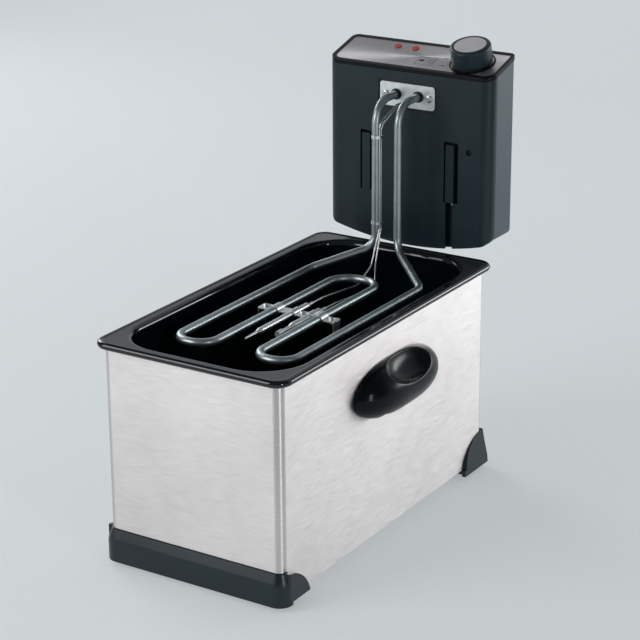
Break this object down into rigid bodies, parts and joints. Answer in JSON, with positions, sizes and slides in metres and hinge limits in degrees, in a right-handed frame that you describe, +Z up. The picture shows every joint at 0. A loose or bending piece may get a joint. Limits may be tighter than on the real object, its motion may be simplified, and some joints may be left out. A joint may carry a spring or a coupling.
{
  "type": "deep fryer",
  "caption": "Electric deep fryer: brushed steel housing, lift-out enamel oil pot and lift-off control head with a bent tubular heating element.",
  "frame": {"origin": "on the floor, under the middle of the whole object's box with the head drawn lifted", "axes": "+Z up, +Y towards the back where the control head hangs, +X to the right of someone facing the front"},
  "size_m": [0.2424, 0.44, 0.4344],
  "materials": {
    "brushed_steel": "brushed, level grain",
    "base_steel": "plain",
    "gloss_black": "moulded, glossy",
    "satin_black": "moulded, fine satin",
    "satin_grey": "moulded, fine satin",
    "rubber": "matte",
    "zinc_steel": "bright zinc plate",
    "enamel": "black vitreous enamel, glossy",
    "panel_steel": "fine brushed",
    "tube_steel": "drawn stainless tube, satin",
    "copper": "drawn line",
    "brass": "plain",
    "cream_plastic": "moulded",
    "red_lens": "clear tinted lens",
    "cap_metal": "spun disc"
  },
  "bodies": {
    "housing": {"housing_shell": "brushed_steel", "base_plate": "base_steel", "front_foot_bar": "satin_black", "rear_foot_left": "satin_black", "rear_foot_right": "satin_black", "rubber_feet": "rubber", "foot_screws": "zinc_steel", "side_handle_left": "gloss_black", "side_handle_right": "gloss_black", "handle_screws": "zinc_steel", "hanger_left": "zinc_steel", "hanger_right": "zinc_steel", "hanger_rivets": "zinc_steel"},
    "pot": {"oil_pot": "enamel"},
    "head": {"head_front_shell": "satin_black", "head_rear_shell": "satin_grey", "casing_screws": "zinc_steel", "panel_frame": "gloss_black", "panel_plate": "panel_steel", "indicator_lamps": "red_lens", "knob_ring": "satin_black", "thermostat_body": "cream_plastic", "limiter_body": "cream_plastic", "interlock_switch": "gloss_black", "terminal_block": "cream_plastic", "cord_gland": "rubber", "element_flange": "zinc_steel", "flange_screws": "zinc_steel", "tube_ferrules": "tube_steel", "heating_element": "tube_steel", "element_terminals": "brass", "clamp_upper": "zinc_steel", "clamp_lower": "zinc_steel", "clamp_screws": "zinc_steel", "thermostat_bulb": "zinc_steel", "thermostat_capillary": "copper", "limiter_bulb": "zinc_steel", "limiter_capillary": "copper", "capillary_clips": "zinc_steel"},
    "knob": {"control_knob": "satin_black", "knob_cap": "cap_metal", "knob_spindle": "zinc_steel"},
    "reset": {"reset_button": "gloss_black"},
    "interlock": {"interlock_pin": "cream_plastic"}
  },
  "joints": [
    {"name": "pot_lift", "type": "slide", "parent": "housing", "child": "pot", "axis": [0, 0, 1], "range_m": [0, 0.2]},
    {"name": "head_lift", "type": "slide", "parent": "pot", "child": "head", "axis": [0, 0, 1], "range_m": [-0.14, 0.06]},
    {"name": "knob_turn", "type": "hinge", "parent": "head", "child": "knob", "pos_m": [0.0575, 0.1936, 0.41057], "axis": [0, -0.2756, 0.9613], "range_deg": [-270, 0]},
    {"name": "reset_press", "type": "slide", "parent": "head", "child": "reset", "axis": [0, 1, 0], "range_m": [0, 0.002], "stiffness_N_per_m": 300},
    {"name": "interlock_press", "type": "slide", "parent": "head", "child": "interlock", "axis": [0, 0, 1], "range_m": [0, 0.003], "stiffness_N_per_m": 150}
  ]
}
